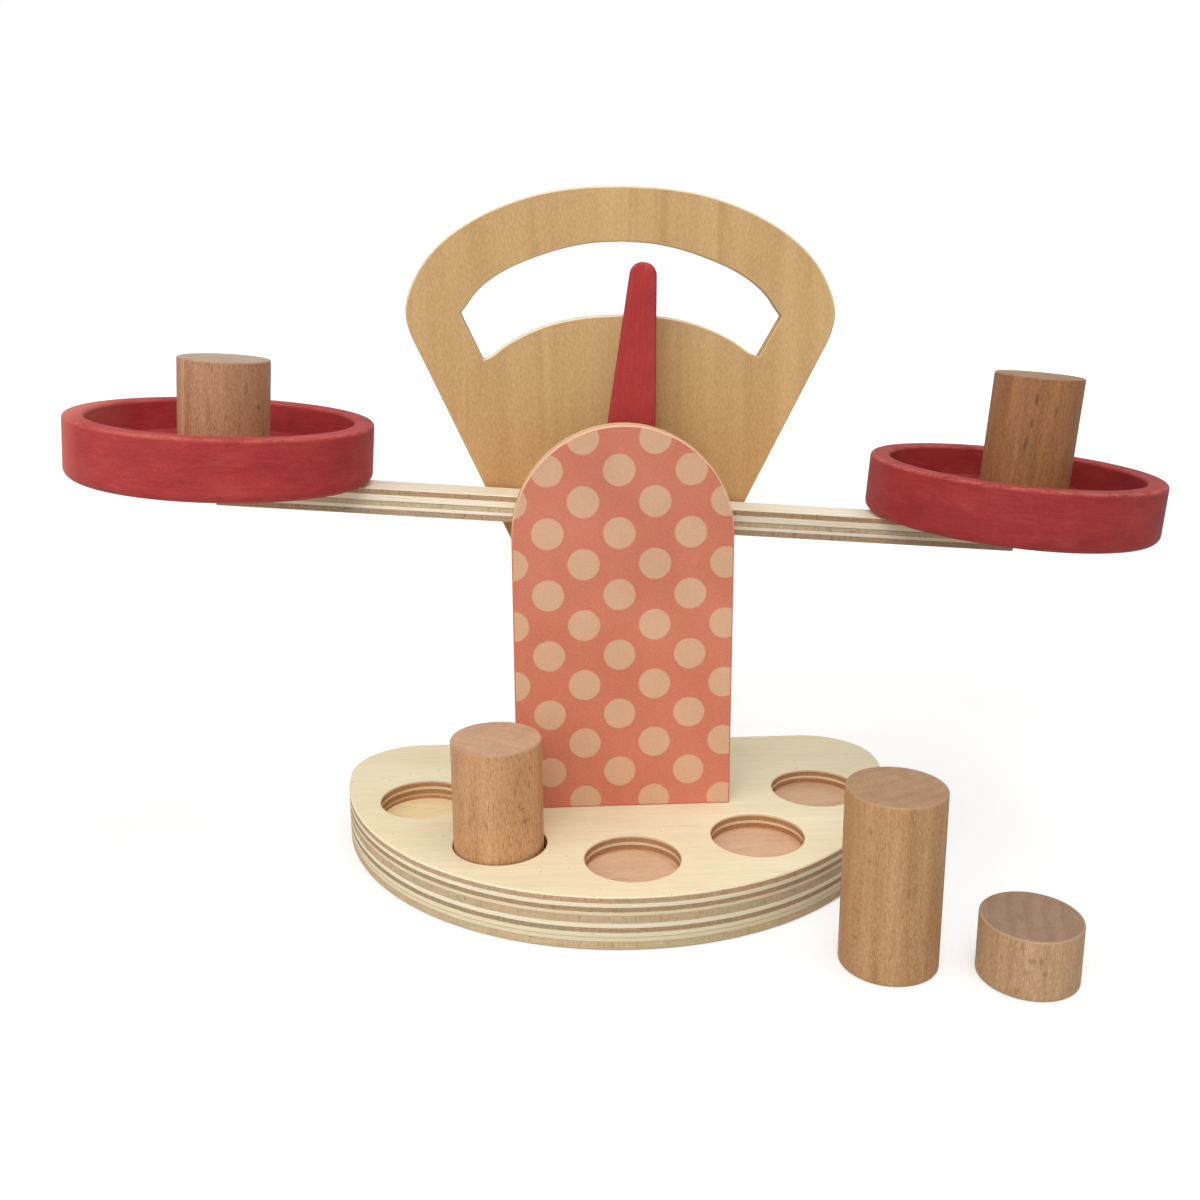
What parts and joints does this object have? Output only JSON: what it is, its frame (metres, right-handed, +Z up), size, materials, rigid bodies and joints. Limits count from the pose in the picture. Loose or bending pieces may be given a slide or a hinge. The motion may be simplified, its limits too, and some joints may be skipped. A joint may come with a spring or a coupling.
{
  "type": "toy balance scale",
  "caption": "Wooden toy balance scale: tilting plywood beam with pointer and round pans on a half-round base with recesses for beech weights.",
  "frame": {"origin": "centre of the base board's underside, level with the table", "axes": "+Z up, +X to the right and +Y to the rear, seen from the printed front panel"},
  "size_m": [0.3732, 0.1658, 0.2297],
  "materials": {
    "plywood": "bare sanded birch plywood, cream faces and banded edges",
    "printed_plywood": "matte coral print with pale round dots on plywood",
    "dial_plywood": "satin golden veneer with upright grain",
    "beech": "smooth oiled beech",
    "red_stained_wood": "matte red stain, grain showing",
    "steel": "zinc-plated steel",
    "nylon": "natural nylon"
  },
  "bodies": {
    "stand": {"base_board": "plywood", "front_panel": "printed_plywood", "dial_plate": "dial_plywood", "foot_block": "beech", "stop_block": "beech", "base_screw_left": "steel", "base_screw_right": "steel", "dial_screw_lower_left": "steel", "dial_screw_lower_right": "steel", "dial_screw_upper_left": "steel", "dial_screw_upper_right": "steel", "pivot_pin": "steel", "washer_front": "nylon", "washer_rear": "nylon"},
    "balance": {"beam": "plywood", "pointer": "red_stained_wood", "pan_left": "red_stained_wood", "pan_right": "red_stained_wood", "pan_screw_left_inner": "steel", "pan_screw_left_outer": "steel", "pan_screw_right_inner": "steel", "pan_screw_right_outer": "steel", "pointer_screw_left": "steel", "pointer_screw_right": "steel"},
    "weight_one": {"weight_one": "beech"},
    "weight_two": {"weight_two": "beech"},
    "weight_three_pan": {"weight_three_pan": "beech"},
    "weight_three_base": {"weight_three_base": "beech"},
    "weight_four": {"weight_four": "beech"}
  },
  "joints": [
    {"name": "beam_tilt", "type": "hinge", "parent": "stand", "child": "balance", "pos_m": [0.0011, 0.0185, 0.1205], "axis": [0, 1, 0], "range_deg": [-8.8, 0]},
    {"name": "weight_two_lift", "type": "slide", "parent": "balance", "child": "weight_two", "axis": [0.0767, 0, 0.9971], "range_m": [0, 0.08]},
    {"name": "weight_three_pan_lift", "type": "slide", "parent": "balance", "child": "weight_three_pan", "axis": [0.0767, 0, 0.9971], "range_m": [0, 0.08]},
    {"name": "weight_three_base_lift", "type": "slide", "parent": "stand", "child": "weight_three_base", "axis": [0, 0, 1], "range_m": [0, 0.08]},
    {"name": "weight_four_lift", "type": "slide", "parent": "stand", "child": "weight_four", "axis": [0, 0, 1], "range_m": [0, 0.08]},
    {"name": "weight_one_lift", "type": "slide", "parent": "stand", "child": "weight_one", "axis": [0, 0, 1], "range_m": [0, 0.08]}
  ]
}
